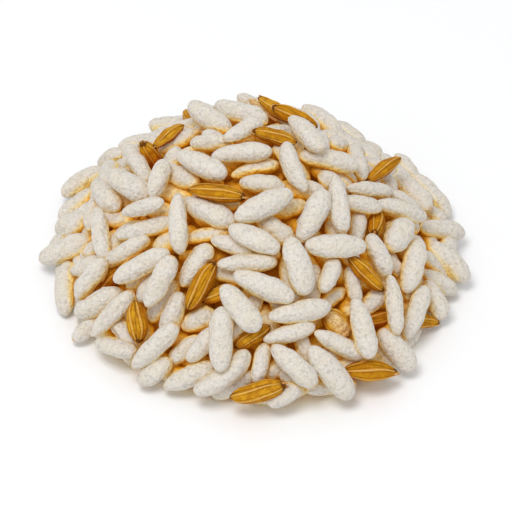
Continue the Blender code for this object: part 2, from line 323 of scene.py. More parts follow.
def core_height(x, y):
    """Height of the core's skin over a point of the floor, below zero outside it."""
    out, azimuth = polar(x, y)
    return CORE_HEIGHT * (1 - (out / (CORE_REACH * edge_radius(azimuth))) ** SLOPE_POWER)


def skin_normal(height, x, y):
    """Outward unit normals of a skin given as a height function."""
    step = 0.2
    level = height(x, y)
    rise_x = (height(x + step, y) - level) / step
    rise_y = (height(x, y + step) - level) / step
    normal = np.stack([-rise_x, -rise_y, np.ones_like(level)], -1)
    return level, normal / np.linalg.norm(normal, axis=1, keepdims=True)


def climb(value, start, span):
    """0 up to the start, 1 past the span and straight between."""
    return np.clip((value - start) / span, 0, 1)


def turned_frames(heading, pitch, roll):
    """Axes of grains from their angles in radians: columns are length, side and back."""
    along = np.stack([np.cos(heading) * np.cos(pitch), np.sin(heading) * np.cos(pitch), np.sin(pitch)], -1)
    side = np.stack([-np.sin(heading), np.cos(heading), 0 * heading], -1)
    up = np.cross(along, side)
    side = side * np.cos(roll)[:, None] + up * np.sin(roll)[:, None]
    return np.stack([along, side, np.cross(along, side)], -1)


# ---------------------------------------------------------------- one grain

class Shape:
    """One grain's outline: the same numbers give its mesh and the beads that settle it."""

    def __init__(self, name, rng):
        kind = {**KINDS, **HUSKED}[name]
        self.name = name
        self.husked = name in HUSKED
        self.length = kind["length"] * rng.uniform(0.95, 1.06)
        self.width = kind["width"] * rng.uniform(0.95, 1.05)
        self.flat = kind["flat"] * rng.uniform(0.96, 1.05)
        self.bend = math.radians(rng.uniform(*kind["bend"])) + STRAIGHTEST
        self.blunt = kind["blunt"] * rng.uniform(0.92, 1.12)
        self.taper = kind["taper"] * rng.uniform(0.4, 1.3)
        self.swell = rng.uniform(-0.035, 0.035, 3)
        self.swell_turn = rng.uniform(0, math.tau, 3)
        self.sway = rng.uniform(-0.25, 0.25)
        self.facets = rng.uniform(0.010, 0.035, 3)
        self.facet_turn = rng.uniform(0, math.tau, (3, 2))
        self.tip_tan = rng.uniform(0, 1, 2) ** 1.4
        self.waves = rng.normal(0, 1, (LUMP_WAVES, 3))
        self.waves /= np.linalg.norm(self.waves, axis=1, keepdims=True)
        self.waves *= math.tau / rng.uniform(0.9, 2.4, (LUMP_WAVES, 1))
        self.wave_turn = rng.uniform(0, math.tau, LUMP_WAVES)
        self.creases = []
        self.pinches = []
        self.blisters = []
        self.marks(rng)

    def marks(self, rng):
        """Creases, pinches and blisters: a few on most puffed grains, more on the creased kind."""
        if self.husked:
            return
        rough = self.name == "creased"
        for _ in range(2 if rough else int(rng.random() < 0.4)):
            self.creases.append((
                rng.uniform(0, math.tau), rng.uniform(-0.6, 0.6), rng.uniform(-0.3, 0.3),
                rng.uniform(0.35, 0.7), rng.uniform(0.16, 0.34) if rough else rng.uniform(0.06, 0.14),
            ))
        for _ in range(1 if rough or rng.random() < 0.25 else 0):
            self.pinches.append((
                rng.uniform(-0.65, 0.65), rng.uniform(0.06, 0.13),
                rng.uniform(0.08, 0.2) if rough else rng.uniform(0.03, 0.07), rng.uniform(0, math.tau),
            ))
        for _ in range(rng.integers(4, 8) if rough else rng.integers(1, 4)):
            self.blisters.append((
                rng.uniform(-0.8, 0.8), rng.uniform(0, math.tau),
                rng.uniform(0.35, 0.7), rng.uniform(0.05, 0.16),
            ))

    def girth(self, u):
        """Radius along the grain, 1 at a plain waist, 0 at both tips."""
        if self.husked:
            body = np.maximum(1 - np.abs(u) ** self.blunt, 0) ** 0.66
        else:
            body = np.sqrt(np.maximum(1 - np.abs(u) ** self.blunt, 0))
        waist = 1 + self.taper * u
        for order in range(3):
            waist = waist + self.swell[order] * np.cos((order + 1) * np.pi * u + self.swell_turn[order])
        return body * waist

    def middle_line(self, u):
        """Points on the grain's bent middle line, and the way its back faces there."""
        turn = self.bend * u / 2
        reach = self.length / self.bend
        zero = np.zeros_like(turn)
        sway = self.sway * np.sin(np.pi * u) * 0.5
        points = np.stack([reach * np.sin(turn), sway, reach * (np.cos(turn) - 1)], -1)
        points[..., 2] += reach * (1 - math.cos(self.bend / 4))
        backs = np.stack([np.sin(turn), zero, np.cos(turn)], -1)
        return points, backs

    def beads(self):
        """Balls strung along the middle line that fill the grain."""
        points, _ = self.middle_line(BEAD_STATIONS)
        radii = self.girth(BEAD_STATIONS) * self.width / 4 * (1 + self.flat)
        return points, radii

    def surface(self, rings, segments):
        """Vertices of the grain as rings round the middle line, its tips, and marks for its colours."""
        u = np.sin(np.linspace(-np.pi / 2, np.pi / 2, rings + 2)[1:-1])
        angle = np.linspace(0, math.tau, segments, endpoint=False)
        points, backs = self.middle_line(u)
        u_all, angle_all = np.meshgrid(u, angle, indexing="ij")
        girth, marks = self.outline(u_all, angle_all)
        across = np.cos(angle_all)[..., None] * np.array([0.0, 1.0, 0.0]) * self.width / 2
        upward = np.sin(angle_all)[..., None] * backs[:, None, :] * self.width / 2 * self.flat
        skin = points[:, None, :] + girth[..., None] * (across + upward)
        if self.name == "broken":
            skin = self.lumpy(skin, points, HUSK_SKIN_LUMPS + ROUGH_RICE_LUMPS * marks["pale"][..., None])
        elif not self.husked:
            skin = self.lumpy(skin, points, GRAIN_SKIN_LUMPS)
            for end, tan in zip((1, -1), self.tip_tan):
                marks["tone"] += tan * climb(end * u_all, **TIPS) ** 1.5
        tips, _ = self.middle_line(np.array([-1.0, 1.0]))
        return skin, tips, marks

    def outline(self, u, angle):
        """Girth at places along and round the grain, and the marks that tell its colour there."""
        girth = self.girth(u)
        for order, (low, high) in enumerate(self.facet_turn):
            wave = np.cos((order + 2) * angle + low + 2 * np.sin(2 * u + high))
            girth = girth * (1 + self.facets[order] * wave)
        girth, tone = self.marked(u, angle, girth)
        rib = np.zeros_like(girth)
        pale = np.zeros_like(girth)
        if self.husked:
            girth, rib, ends = self.ribbed(u, angle, girth)
            tone += ends
        if self.name == "faded":
            pale += FADED
        if self.name == "broken":
            # Open along its back, and shut towards the tips
            pale = np.clip(5.0 * np.sin(angle) - 3.7, 0, 1) * (1 - u ** 4)
            girth = girth * (1 - 0.10 * pale)
        return girth, {"tone": tone, "rib": rib, "pale": pale}

    def marked(self, u, angle, girth):
        """Cut the creases and pinches into the grain's girth and raise its blisters."""
        tone = np.zeros_like(girth)
        radius = self.width / 2
        plain = self.girth(u)
        for start, twist, middle, half, depth in self.creases:
            off = (angle - start - twist * u + np.pi) % math.tau - np.pi
            groove = np.exp(-(off * radius / 0.42) ** 2) * np.exp(-((u - middle) / half) ** 4)
            girth = girth - groove * depth * plain
            tone += groove * depth * 2.5
        for middle, half, depth, side in self.pinches:
            ring = np.exp(-((u - middle) / half) ** 2) * (0.6 + 0.4 * np.cos(angle - side))
            girth = girth * (1 - ring * depth)
            tone += ring * depth * 2
        for middle, side, size, height in self.blisters:
            off = (angle - side + np.pi) % math.tau - np.pi
            near = (off * radius) ** 2 + ((u - middle) * self.length / 2) ** 2
            girth = girth + height * np.exp(-near / size ** 2) * plain
        return girth, tone

    def ribbed(self, u, angle, girth):
        """Ribs from end to end of an unhusked grain, and how brown its ends and seams are, with painted
        shade between the ribs near both ends.
        """
        turn = (angle + 0.10 * np.sin(2.5 * u) + math.pi / HUSK_RIBS) * HUSK_RIBS / 2
        rib = np.abs(np.cos(turn)) ** 9
        fade = np.clip((1 - np.abs(u)) / 0.15, 0, 1)
        # A brown ring above its foot, a brown tip, and painted shade between the ribs near both
        ends = np.exp(-((u + 0.90) / 0.06) ** 2) + 0.7 * np.exp(-((u - 0.97) / 0.03) ** 2)
        ends += (1 - rib) ** 2 * np.clip((np.abs(u) - 0.55) / 0.45, 0, 1) * 0.7
        girth = girth * (0.95 + 0.11 * rib * fade)
        # Its two halves meet in a groove, with the edge of one over the other
        for side in HUSK_SEAMS:
            off = (angle - math.radians(side) - 0.2 * u + np.pi) % math.tau - np.pi
            seam = np.exp(-(off / 0.09) ** 2) * fade
            overlap = fade * np.exp(-np.clip(off, 0, 9) / 0.3) * (off > 0)
            girth = girth * (1 - 0.09 * seam) * (1 + 0.05 * overlap)
            ends += 0.75 * seam
        return girth, rib, ends

    def lumpy(self, skin, points, depth):
        """Push the skin in and out by smooth lumps about a millimetre or two wide."""
        outward = skin - points[:, None, :]
        size = np.linalg.norm(outward, axis=-1, keepdims=True)
        lumps = np.sin(skin @ self.waves.T + self.wave_turn).mean(-1, keepdims=True)
        return skin + outward / np.maximum(size, 1e-6) * lumps * depth * np.minimum(size / 0.8, 1)


def tube_faces(first, rings, segments):
    """Faces of a closed tube: its rings of vertices from first on, and then its two tips."""
    faces = []
    for ring in range(rings - 1):
        for segment in range(segments):
            after = (segment + 1) % segments
            here, above = first + ring * segments, first + (ring + 1) * segments
            faces.append((here + segment, here + after, above + after, above + segment))
    last = first + (rings - 1) * segments
    start = first + rings * segments
    for segment in range(segments):
        after = (segment + 1) % segments
        faces.append((start, first + after, first + segment))
        faces.append((start + 1, last + segment, last + after))
    return faces


def small_scale(shape, side):
    """One of the two small scales at an unhusked grain's foot: its rings and tips."""
    middle, _ = shape.middle_line(np.array([-0.84, -1.0]))
    away = (middle[1] - middle[0]) / np.linalg.norm(middle[1] - middle[0])
    across = np.array([0.0, side, 0.0])
    foot = middle[0] + across * 0.42 * shape.width / 2 - away * 0.2
    tip = middle[1] + across * 0.26 + away * 0.42
    steps = np.array([0.12, 0.35, 0.6, 0.85])           # where its rings are, from foot to tip
    thick = np.array([0.15, 0.20, 0.17, 0.09])          # their radii
    angle = np.linspace(0, math.tau, SCALE_SEGMENTS, endpoint=False)
    line = foot + (tip - foot) * steps[:, None]
    round_it = np.stack([0 * angle, np.cos(angle) * 0.75, np.sin(angle)], -1)
    return line[:, None, :] + thick[:, None, None] * round_it, np.stack([foot, tip])


def grain_mesh(shape, rings, segments, name):
    """A closed mesh of one grain, in metres, with the marks for its colours as attributes."""
    skin, tips, marks = shape.surface(rings, segments)
    vertices = [skin.reshape(-1, 3), tips]
    faces = tube_faces(0, rings, segments)
    layers = {label: [mark.ravel(), [mark[0].mean(), mark[-1].mean()]] for label, mark in marks.items()}
    for side in (-1, 1) if shape.husked and shape.name != "broken" else ():
        leaf, ends = small_scale(shape, side)
        faces += tube_faces(sum(len(part) for part in vertices), len(leaf), SCALE_SEGMENTS)
        vertices += [leaf.reshape(-1, 3), ends]
        count = leaf[..., 0].size + 2
        for label, value in (("tone", 0.0), ("rib", 0.5), ("pale", 1.0)):
            layers[label].append(np.full(count, value))
    mesh = bpy.data.meshes.new(name)
    mesh.from_pydata((np.vstack(vertices) * MM).tolist(), [], faces)
    for label, values in layers.items():
        layer = mesh.attributes.new(label, "FLOAT", "POINT")
        layer.data.foreach_set("value", np.concatenate(values).astype(np.float32))
    mesh.shade_smooth()
    return mesh


# ---------------------------------------------------------------- settling

def rolled(along, normal, roll):
    """Axes of a grain along a unit vector, its back to the normal and then rolled."""
    side = np.cross(normal, along)
    side /= np.linalg.norm(side)
    back = np.cross(along, side)
    side = side * math.cos(roll) + back * math.sin(roll)
    return np.stack([along, side, np.cross(along, side)], -1)


def kind_of_size(length, width):
    """The kind of puffed grain that looks so long and wide."""
    if length < 7.7:
        return "short"
    if width > 4.05:
        return "plump"
    return "slender" if width < 3.5 else "even"


def slope_spot(right, up, width, sunk):
    """Where a grain lies to be seen that far to the right and up, and so deep under the skin.

    Gives the place, the skin's normal, the height of the slope's spot, and how much larger
    things look there. A grain over the horizon is raised a little past the slope's last spot.
    """
    # Spots of the slope from front to back, up to a little before its far edge
    y = np.linspace(-HEAP_RADIUS, HEAP_RADIUS, 801)
    out, azimuth = polar(right, y)
    y = y[(out < edge_radius(azimuth) - 1.5) | (y < 0)]
    level, normal = skin_normal(slope_height, np.full_like(y, right), y)
    z = np.maximum(level - (GRAIN_BACK + sunk) / normal[:, 2], width / 2 - 0.1)
    zoom = CAMERA_DISTANCE / (CAMERA_DISTANCE - y * LOOK[1] - (z - AIM_HEIGHT) * LOOK[2])
    seen_at = AIM_HEIGHT * SIGHT_FALL + (y * SIGHT_RISE + (z - AIM_HEIGHT) * SIGHT_FALL) * zoom
    reached = np.nonzero(seen_at >= up)[0]
    spot = reached[0] if len(reached) else int(np.argmax(seen_at))
    above = min(max(up - seen_at[spot], 0), MOST_ABOVE)
    place = np.array([right / zoom[spot], y[spot] + above * SIGHT_RISE, z[spot] + above * SIGHT_FALL])
    return place, normal[spot], z[spot], zoom[spot]


class Pile:
    """Grains as strings of beads, poured over the core, pushed apart and pulled down."""

    def __init__(self, shapes, rng):
        self.shapes = shapes
        self.rng = rng
        self.count = 0
        self.kind = np.empty(0, int)
        self.places = np.empty((0, 3))
        self.frames = np.empty((0, 3, 3))
        self.scales = np.empty((0, 3))
        self.chain = np.empty((0, len(BEAD_STATIONS), 3))
        self.radii = np.empty((0, len(BEAD_STATIONS)))
        self.loose = np.empty(0)
        self.level = np.empty(0)
        self.home = np.empty((0, 3))
        self.home_way = np.empty((0, 3))
        self.by_name = {}
        for number, shape in enumerate(shapes):
            self.by_name.setdefault(shape.name, []).append(number)
        kinds = {**KINDS, **HUSKED}
        self.names = list(kinds)
        shares = np.array([kind["share"] for kind in kinds.values()])
        self.shares = shares / shares.sum()

    def new_grain(self):
        """Pick a kind, one of its shapes, and a stretch for one more grain."""
        name = self.names[self.rng.choice(len(self.names), p=self.shares)]
        kind = int(self.rng.choice(self.by_name[name]))
        stretch, thick = self.rng.normal(1, 0.05), self.rng.normal(1, 0.045)
        return kind, np.array([stretch, thick, thick])

    def add(self, grains, loose=1.0, level=UNSEEN):
        """Take in grains as (kind, scale, place, axes), how freely they give way and how deep they lie."""
        kinds, scales, places, frames = zip(*grains)
        chains = [self.shapes[kind].beads() for kind in kinds]
        scales = np.array(scales)
        self.kind = np.append(self.kind, kinds)
        self.scales = np.vstack([self.scales, scales])
        self.places = np.vstack([self.places, places])
        self.frames = np.vstack([self.frames, np.array(frames)])
        self.chain = np.vstack([self.chain, np.array([points for points, _ in chains]) * scales[:, None, :]])
        self.radii = np.vstack([self.radii, np.array([radii for _, radii in chains]) * scales[:, 1:2]])
        self.loose = np.append(self.loose, np.full(len(grains), loose))
        self.level = np.append(self.level, np.full(len(grains), level))
        self.home = np.vstack([self.home, self.places[len(self.home):]])
        self.home_way = np.vstack([self.home_way, self.frames[len(self.home_way):, :, 0]])
        self.count = len(self.kind)
        self.reach = np.linalg.norm(self.chain, axis=2).max(axis=1) + 0.6
        length = np.abs(self.chain[:, -1, 0] - self.chain[:, 0, 0])
        thick = 2 * self.radii.max(axis=1)
        # How easily each grain turns about its own axes, as an even rod of its size would
        self.ease = np.stack([8 / thick ** 2, 12 / length ** 2, 12 / length ** 2], -1)

    def fill_bed(self, count, sunk):
        """Scatter grains through the space between the core and a skin that lies deeper."""
        rng = self.rng
        grains = []
        while len(grains) < count:
            x, y = rng.uniform(-1.1 * HEAP_RADIUS, 1.1 * HEAP_RADIUS, 2)
            z = rng.uniform(1.7, HEAP_HEIGHT)
            out, azimuth = polar(x, y)
            inside = out < edge_radius(azimuth) - sunk - 2
            inside = inside and core_height(x, y) + 1.0 < z < slope_height(x, y) - sunk - 1.0
            if not inside:
                continue
            kind, scale = self.new_grain()
            angles = rng.uniform(0, math.tau), rng.normal(0, 0.3), rng.uniform(0, math.tau)
            axes = turned_frames(*(np.array([angle]) for angle in angles))[0]
            grains.append((kind, scale, np.array([x, y, z]), axes))
        self.add(grains)

    def laid(self, x, y, heading, sunk, roll, pitch):
        """A grain lying along the slope at a place, its back as deep as sunk says."""
        kind, scale = self.new_grain()
        level, normal = skin_normal(slope_height, np.array([x]), np.array([y]))
        flat = np.array([math.cos(heading), math.sin(heading), 0.0])
        along = flat - normal[0] * (flat @ normal[0])
        along = along / np.linalg.norm(along) * math.cos(pitch) + normal[0] * math.sin(pitch)
        place = np.array([x, y, level[0]]) - normal[0] * (GRAIN_BACK + sunk)
        place[2] = max(place[2], GRAIN_BACK)
        return kind, scale, place, rolled(along, normal[0], roll)

    def seen(self, right, up, turn, length, width, sunk, name=None, roll=None):
        """A grain on the heap's front that looks so long and wide, and points so, from VIEW_ANGLE."""
        name = name or kind_of_size(length, width)
        if roll is None:
            roll = self.rng.uniform(-70, 70)
        place, normal, height, zoom = slope_spot(right, up, width, sunk)
        length, width = length / zoom, width / zoom
        # It lies along the slope, but flat near the floor and where the slope turns away
        lean = min(max((height - width / 2) / 3, 0), 1) * min(max(2 * normal @ LOOK, 0), 1)
        under = normal * lean + np.array([0, 0, 1.0]) * (1 - lean)
        under /= np.linalg.norm(under)
        along = self.way_seen(name, turn, length, under)
        true_length = np.linalg.norm(along)
        kind = int(self.rng.choice(self.by_name[name]))
        shape = self.shapes[kind]
        wide = FULLER * width / shape.width
        scale = np.array([true_length / shape.length, wide, wide])
        return kind, scale, place, rolled(along / true_length, under, math.radians(roll))

    def way_seen(self, name, turn, length, under):
        """A grain from end to end: it looks as long as given, and lies along what is under it.

        How much nearer one end may be is limited by the usual length of its kind. A grain
        that looks much shorter than that points away from the viewer instead.
        """
        across = length * math.cos(math.radians(turn))
        along = np.array([across, 0, 0]) + length * math.sin(math.radians(turn)) * SIGHT_UP
        usual = self.shapes[self.by_name[name][0]].length
        room = math.sqrt(max(max(usual * LONGEST, length * 1.03) ** 2 - length ** 2, 0))
        nearer = -(along @ under) / max(LOOK @ under, 0.25)
        if length < END_ON * usual and name != "short":
            nearer = -room
        return along + LOOK * min(max(nearer, -room), room)

    def chain_at(self, grain):
        """The middles of a grain's beads where it lies."""
        kind, scale, place, axes = grain
        points, _ = self.shapes[kind].beads()
        return place + (points * scale) @ axes.T

    def pour(self, count, sunk, clear, start=None):
        """Lay a layer of grains over the slope: each takes the freest heading at its place.

        Where the grains to keep clear of aren't given, the layer keeps clear of every
        grain there is, and only fills what room is left on the far side.
        """
        grains = []
        taken = [self.chain_at(grain) for grain in start or ()]
        if start is None:
            taken = [self.beads().reshape(-1, 3)]
        for number in self.rng.permutation(POUR_SPOTS):
            if len(grains) >= count:
                break
            azimuth = number * math.pi * (3 - math.sqrt(5))
            radius = math.sqrt((number + 0.5) / POUR_SPOTS) * (edge_radius(azimuth) - 1.2 - 0.8 * sunk)
            x, y = TOP_X + radius * math.cos(azimuth), TOP_Y + radius * math.sin(azimuth)
            _, normal = skin_normal(slope_height, np.array([x]), np.array([y]))
            if start is None and normal[0] @ LOOK > FAR_SIDE:
                continue
            best, room = self.freest(x, y, sunk, taken)
            if room > clear:
                grains.append(best)
                taken.append(self.chain_at(best))
        if grains:
            self.add(grains)

    def freest(self, x, y, sunk, taken):
        """The grain at a place whose heading keeps it clearest of the beads taken, and how clear."""
        rng = self.rng
        first, roll, pitch = rng.uniform(0, math.pi), rng.uniform(-1.2, 1.2), rng.normal(0, 0.22)
        best, room = None, -1.0
        for turn in range(POUR_TURNS):
            grain = self.laid(x, y, first + math.pi * turn / POUR_TURNS, sunk, roll, pitch)
            beads = self.chain_at(grain)
            out, way = polar(beads[:, 0], beads[:, 1])
            if (edge_radius(way) - out).min() < EDGE_ROOM:
                continue
            space = FREE
            if taken:
                space = np.linalg.norm(np.concatenate(taken)[None] - beads[:, None], axis=2).min()
            if space > room:
                best, room = grain, space
        return best, room

    def beads(self):
        """The middle of every bead of every grain."""
        return self.places[:, None, :] + np.einsum("nij,nkj->nki", self.frames, self.chain)

    def near_pairs(self):
        """Pairs of grains that are near enough to touch soon."""
        apart = np.linalg.norm(self.places[:, None] - self.places[None], axis=-1)
        limit = self.reach[:, None] + self.reach[None] + PAIR_SLACK
        return np.where(np.triu(apart < limit, 1))

    def push(self, who, lever, way, amount):
        """Add a push at a lever arm to the moves that this pass gathers."""
        twist = np.cross(lever, way)
        own = np.einsum("mji,mj->mi", self.frames[who], twist) * self.ease[who]
        twist = np.einsum("mij,mj->mi", self.frames[who], own)
        for axis in range(3):
            self.shift[:, axis] += np.bincount(who, way[:, axis] * amount, self.count)
            self.spin[:, axis] += np.bincount(who, twist[:, axis] * amount, self.count)
        self.pushes += np.bincount(who, minlength=self.count)

    def give(self, who, lever, way):
        """How easily a grain yields to a push there, where 1 is a push through its middle."""
        own = np.einsum("mji,mj->mi", self.frames[who], np.cross(lever, way))
        return 1 + (own * own * self.ease[who]).sum(-1)

    def part_grains(self, first, second, beads):
        """Push overlapping grains apart.

        Where one of them is held, the one that lies deeper gives way from the viewer.
        """
        a, b = beads[first], beads[second]
        between = a[:, :, None, :] - b[:, None, :, :]
        apart = np.sqrt((between * between).sum(-1))
        depth = self.radii[first][:, :, None] + self.radii[second][:, None, :] - apart
        pair, i, j = np.where(depth > 0)
        way = between[pair, i, j] / np.maximum(apart[pair, i, j], 1e-6)[:, None]
        one, two = first[pair], second[pair]
        held = (self.loose[one] < 1) | (self.loose[two] < 1)
        order = np.sign(self.level[two] - self.level[one])
        order = np.where(order == 0, np.sign(way @ LOOK), order)
        way = way + LOOK * (STEER * held * order)[:, None]
        way /= np.linalg.norm(way, axis=1, keepdims=True)
        lever_one = a[pair, i] - way * self.radii[one, i][:, None] - self.places[one]
        lever_two = b[pair, j] + way * self.radii[two, j][:, None] - self.places[two]
        loose_one, loose_two = self.loose[one], self.loose[two]
        total = loose_one * self.give(one, lever_one, way) + loose_two * self.give(two, lever_two, way)
        amount = depth[pair, i, j] / total
        self.push(one, lever_one, way, amount * loose_one)
        self.push(two, lever_two, -way, amount * loose_two)

    def keep_off(self, beads, depth, way, strength):
        """Push beads that are deeper than 0 in something along the way out of it."""
        who = np.repeat(np.arange(self.count), beads.shape[1])
        hit = depth > 0
        who, way = who[hit], way[hit]
        lever = beads.reshape(-1, 3)[hit] - way * self.radii.ravel()[hit][:, None] - self.places[who]
        self.push(who, lever, way, strength * depth[hit] / self.give(who, lever, way))

    def keep_inside(self, beads, ceiling):
        """Keep grains off the floor and the core, and loose ones under the skin and within the edge."""
        flat = beads.reshape(-1, 3)
        radii = self.radii.ravel()
        up = np.tile([0.0, 0.0, 1.0], (len(flat), 1))
        self.keep_off(beads, radii - flat[:, 2], up, 1.0)
        level, normal = skin_normal(core_height, flat[:, 0], flat[:, 1])
        self.keep_off(beads, (level - flat[:, 2]) * normal[:, 2] + radii, normal, 1.0)
        free = np.repeat(self.loose < 1, beads.shape[1]) * FREE
        level, normal = skin_normal(slope_height, flat[:, 0], flat[:, 1])
        over = (flat[:, 2] - level) * normal[:, 2] + radii + ceiling
        self.keep_off(beads, over - free, -normal, SKIN_PUSH)
        out, azimuth = polar(flat[:, 0], flat[:, 1])
        edge = edge_radius(azimuth) - ceiling - FRONT_EDGE * np.clip(-1.5 * np.sin(azimuth), 0, 1)
        inward = -np.stack([np.cos(azimuth), np.sin(azimuth), 0 * azimuth], -1)
        self.keep_off(beads, out + radii - edge - free, inward, EDGE_PUSH)

    def one_pass(self, first, second, ceiling):
        """Push everything apart once. The ceiling is how far below the skin loose grains are kept."""
        self.shift = np.zeros((self.count, 3))
        self.spin = np.zeros((self.count, 3))
        self.pushes = np.zeros(self.count)
        beads = self.beads()
        self.part_grains(first, second, beads)
        self.keep_inside(beads, ceiling)
        share = OVERSHOOT / np.maximum(self.pushes, 1)
        move = self.shift * share[:, None]
        size = np.linalg.norm(move, axis=1)
        move *= np.minimum(1, LONGEST_MOVE / np.maximum(size, 1e-9))[:, None]
        self.places = np.round(self.places + move, 6)
        self.turn(np.round(self.spin * share[:, None], 7))
        self.hold()

    def hold(self):
        """Draw the front grains back to where they are seen; along the line of sight they may slide."""
        held = self.loose < 1
        slip = self.home[held] - self.places[held]
        slide = slip @ LOOK
        rise = np.clip(LOW_RISE * self.home[held][:, 2] - 0.3, LEAST_RISE, RISE)
        slip -= LOOK * np.clip(slide, -rise, SINK)[:, None]
        self.places[held] = np.round(self.places[held] + HOLD * slip, 6)
        off = np.cross(self.frames[held][:, :, 0], self.home_way[held])
        spin = np.zeros((self.count, 3))
        spin[held] = HOLD_LEAN * off + LOOK * ((HOLD - HOLD_LEAN) * (off @ LOOK))[:, None]
        self.turn(np.round(spin, 7))

    def turn(self, spin):
        """Turn each grain about an axis, by as many radians as the axis is long."""
        size = np.linalg.norm(spin, axis=1)
        spin = spin * np.minimum(1, MOST_TURN / np.maximum(size, 1e-9))[:, None]
        columns = self.frames.transpose(0, 2, 1)
        turned = columns + np.cross(spin[:, None, :], columns)
        along = turned[:, 0] / np.linalg.norm(turned[:, 0], axis=1, keepdims=True)
        side = turned[:, 1] - along * (along * turned[:, 1]).sum(1, keepdims=True)
        side /= np.linalg.norm(side, axis=1, keepdims=True)
        self.frames = np.stack([along, side, np.cross(along, side)], -1)

    def settle(self, steps, fall, ceiling):
        """Let the grains fall a little in each step, and push them apart."""
        for step in range(steps):
            if step % PAIRS_LAST == 0:
                first, second = self.near_pairs()
            self.places[:, 2] -= fall
            for _ in range(PASSES):
                self.one_pass(first, second, ceiling)

    def lift(self):
        """Raise every grain that dips into the floor until it rests on it."""
        dips = (LIFT_ROOM * self.radii - self.beads()[..., 2]).max(axis=1)
        self.places[:, 2] += np.maximum(dips, 0)

    def depth(self):
        """How far each grain's middle lies below the heap's skin."""
        level, normal = skin_normal(slope_height, self.places[:, 0], self.places[:, 1])
        return (level - self.places[:, 2]) * normal[:, 2]


def settled_pile(shapes, rng):
    """The whole heap: a bed held in shape, then layers laid on it that lie as they fall."""
    pile = Pile(shapes, rng)
    pile.fill_bed(**BED)
    pile.settle(**BED_SETTLES)
    pile.pour(**LOW_LAYER, start=())
    pile.settle(**LOW_SETTLES)
    rows = list(FRONT_GRAINS)
    rows += [row if len(row) > 6 else (*row, "paddy", None) for row in FRONT_PADDIES]
    front = [pile.seen(*row) for row in rows]
    pile.pour(**MIDDLE_LAYER, start=front)
    pile.settle(**MIDDLE_SETTLES)
    pile.pour(**TOP_LAYER, start=front)
    pile.add(front, FRONT_LOOSE, [row[5] for row in rows])
    pile.settle(**FRONT_SETTLES)
    pile.pour(**FAR_LAYER)
    pile.settle(**FAR_SETTLES)
    pile.settle(**ALL_REST)
    pile.lift()
    pile.luck = rng.uniform(0, 1, pile.count)
    return pile


# ---------------------------------------------------------------- node trees

class Wire:
    """A socket that takes part in Python sums by adding Math nodes to its recipe."""

    def __init__(self, recipe, socket):
        self.recipe = recipe
        self.socket = socket

    def math(self, operation, first, second):
        return self.recipe.node("ShaderNodeMath", dict(operation=operation), {0: first, 1: second})

    def __add__(self, other):
        return self.math("ADD", self, other)

    def __radd__(self, other):
        return self.math("ADD", other, self)

    def __sub__(self, other):
        return self.math("SUBTRACT", self, other)

    def __rsub__(self, other):
        return self.math("SUBTRACT", other, self)

    def __mul__(self, other):
        return self.math("MULTIPLY", self, other)

    def __rmul__(self, other):
        return self.math("MULTIPLY", other, self)

    def step(self, low, high):
        """0 below low, 1 above high and smooth between."""
        settings = dict(interpolation_type="SMOOTHSTEP", clamp=True)
        values = {"Value": self, "From Min": low, "From Max": high}
        return self.recipe.node("ShaderNodeMapRange", settings, values)


class Recipe:
    """The nodes of one material or one Geometry Nodes tree."""

    def __init__(self, tree):
        self.tree = tree

    def node(self, kind, settings=None, values=None, out=0):
        """Any node: its settings first, then its sockets' values or links. Gives one output."""
        made = self.tree.nodes.new(kind)
        for key, setting in (settings or {}).items():
            if key == "stops":
                self.set_stops(made.color_ramp, setting)
            else:
                setattr(made, key, setting)
        for key, value in (values or {}).items():
            socket = made.inputs[key]
            if isinstance(value, Wire):
                self.tree.links.new(value.socket, socket)
            else:
                socket.default_value = value
        if out is None:
            return made
        return Wire(self, made.outputs[out])

    def set_stops(self, ramp, stops):
        """Give a colour ramp its stops as (position, colour)."""
        while len(ramp.elements) < len(stops):
            ramp.elements.new(0.5)
        for element, (position, colour) in zip(ramp.elements, stops):
            element.position = position
            element.color = (*colour, 1)

    def mix(self, factor, first, second, blend="MIX"):
        """Mix two colours."""
        made = self.node("ShaderNodeMix", dict(data_type="RGBA", blend_type=blend), None, out=None)
        for index, value in ((0, factor), (6, first), (7, second)):
            socket = made.inputs[index]
            if isinstance(value, Wire):
                self.tree.links.new(value.socket, socket)
            elif index:
                socket.default_value = (*value, 1)
            else:
                socket.default_value = value
        return Wire(self, made.outputs[2])

    def attribute(self, name):
        return self.node("ShaderNodeAttribute", dict(attribute_name=name), out="Fac")

    def noise(self, place, scale, detail=2.0, roughness=0.5):
        values = {"Vector": place, "Scale": scale, "Detail": detail, "Roughness": roughness}
        return self.node("ShaderNodeTexNoise", None, values, out="Fac")


def material_recipe(name):
    """A new material with its Principled shader, and the recipe that adds nodes to it."""
    material = bpy.data.materials.new(name)
    material.use_nodes = True
    recipe = Recipe(material.node_tree)
    shader = material.node_tree.nodes["Principled BSDF"]
    return material, recipe, shader


def plug(recipe, shader, name, wire):
    """Link a wire to one of a material's inputs."""
    recipe.tree.links.new(wire.socket, shader.inputs[name])


def tinted(colour, tint):
    """A colour with each channel times its share."""
    return tuple(channel * share for channel, share in zip(colour, tint))


def colour_ramp(recipe, stops, value):
    """The colour that a value from 0 to 1 picks between stops."""
    return recipe.node("ShaderNodeValToRGB", dict(stops=stops), {"Fac": value}, out="Color")


def glow_where_closed_in(recipe, shader, closed, colour):
    """A weak painted glow in the gaps, for the light that soaks through the grains."""
    plug(recipe, shader, "Emission Color", recipe.mix(closed.step(0.25, 0.75), (0.0, 0.0, 0.0), colour))
    shader.inputs["Emission Strength"].default_value = GLOW


def roughen(recipe, shader, strength, distance, height):
    """Make a surface bumpy, by a distance in metres."""
    values = {"Strength": strength, "Distance": distance, "Height": height}
    plug(recipe, shader, "Normal", recipe.node("ShaderNodeBump", None, values, out="Normal"))


